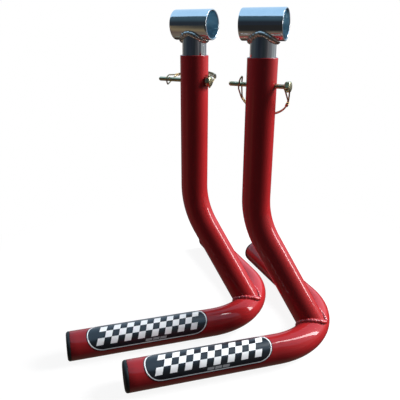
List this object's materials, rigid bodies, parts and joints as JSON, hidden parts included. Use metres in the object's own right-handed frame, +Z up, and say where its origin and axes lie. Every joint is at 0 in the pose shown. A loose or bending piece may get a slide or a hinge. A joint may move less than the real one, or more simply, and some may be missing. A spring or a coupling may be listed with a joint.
{
  "type": "paddock stand",
  "caption": "Pair of bent-tube paddock stands with V-shaped floor bases and plated T-heads held in the columns by cross pins with wire bows.",
  "frame": {"origin": "on the floor, at the bottom centre of the pair's bounding box, with the stands at rest as they stand side by side", "axes": "+Z up, +X along the sleeves and pins from the left stand to the right one, +Y along the spread of the base arms towards the rear arms"},
  "size_m": [0.3245, 0.4548, 0.456],
  "materials": {
    "red_powder_coat": "gloss deep red powder coat over steel tube",
    "red_weld": "weld bead under the same gloss red powder coat",
    "black_plastic": "moulded black polyethylene, fine grain",
    "label_film": null,
    "bright_zinc": "bright zinc plate with faint draw lines",
    "yellow_zinc": "yellow passivated zinc on turned steel",
    "spring_wire": "yellow passivated spring wire"
  },
  "bodies": {
    "left_stand": {"left_base_tube": "red_powder_coat", "left_upright_tube": "red_powder_coat", "left_foot_weld": "red_weld", "left_front_end_cap": "black_plastic", "left_rear_end_cap": "black_plastic", "left_label": "label_film"},
    "left_head": {"left_head_stem": "bright_zinc", "left_head_sleeve": "bright_zinc", "left_head_weld": "bright_zinc"},
    "left_pin": {"left_pin_rod": "yellow_zinc"},
    "left_pin_head": {"left_pin_head": "yellow_zinc"},
    "left_bow": {"left_retaining_bow": "spring_wire", "left_bow_crimp": "spring_wire"},
    "right_stand": {"right_base_tube": "red_powder_coat", "right_upright_tube": "red_powder_coat", "right_foot_weld": "red_weld", "right_front_end_cap": "black_plastic", "right_rear_end_cap": "black_plastic", "right_label": "label_film"},
    "right_head": {"right_head_stem": "bright_zinc", "right_head_sleeve": "bright_zinc", "right_head_weld": "bright_zinc"},
    "right_pin": {"right_pin_rod": "yellow_zinc"},
    "right_pin_head": {"right_pin_head": "yellow_zinc"},
    "right_bow": {"right_retaining_bow": "spring_wire", "right_bow_crimp": "spring_wire"}
  },
  "joints": [
    {"name": "left_head_turn", "type": "hinge", "parent": "left_stand", "child": "left_head", "pos_m": [-0.06285, 0.0154, 0.396], "axis": [0, 0, 1], "range_deg": [-3, 3]},
    {"name": "left_pin_slide", "type": "slide", "parent": "left_stand", "child": "left_pin", "axis": [0.9978, -0.0663, 0], "range_m": [0, 0.019]},
    {"name": "left_pin_turn", "type": "hinge", "parent": "left_pin", "child": "left_pin_head", "pos_m": [-0.06285, 0.0154, 0.361], "axis": [-0.9978, 0.0663, 0], "range_deg": [-49, 69]},
    {"name": "left_bow_open", "type": "hinge", "parent": "left_pin_head", "child": "left_bow", "pos_m": [-0.0392, 0.01383, 0.361], "axis": [0.0115, 0.1733, -0.9848], "range_deg": [0, 105], "deforming": ["left_retaining_bow"]},
    {"name": "stand_spacing", "type": "slide", "parent": "left_stand", "child": "right_stand", "axis": [1, 0, 0], "range_m": [0, 0.35]},
    {"name": "right_head_turn", "type": "hinge", "parent": "right_stand", "child": "right_head", "pos_m": [0.04365, -0.0005, 0.396], "axis": [0, 0, 1], "range_deg": [-3, 3]},
    {"name": "right_pin_slide", "type": "slide", "parent": "right_stand", "child": "right_pin", "axis": [0.997, -0.0772, 0], "range_m": [-0.0132, 0.0058]},
    {"name": "right_pin_turn", "type": "hinge", "parent": "right_pin", "child": "right_pin_head", "pos_m": [0.04365, -0.0005, 0.361], "axis": [-0.997, 0.0772, 0], "range_deg": [-117, 1]},
    {"name": "right_bow_open", "type": "hinge", "parent": "right_pin_head", "child": "right_bow", "pos_m": [0.08044, -0.00335, 0.361], "axis": [-0.0655, -0.8455, -0.5299], "range_deg": [0, 105], "deforming": ["right_retaining_bow"]}
  ]
}
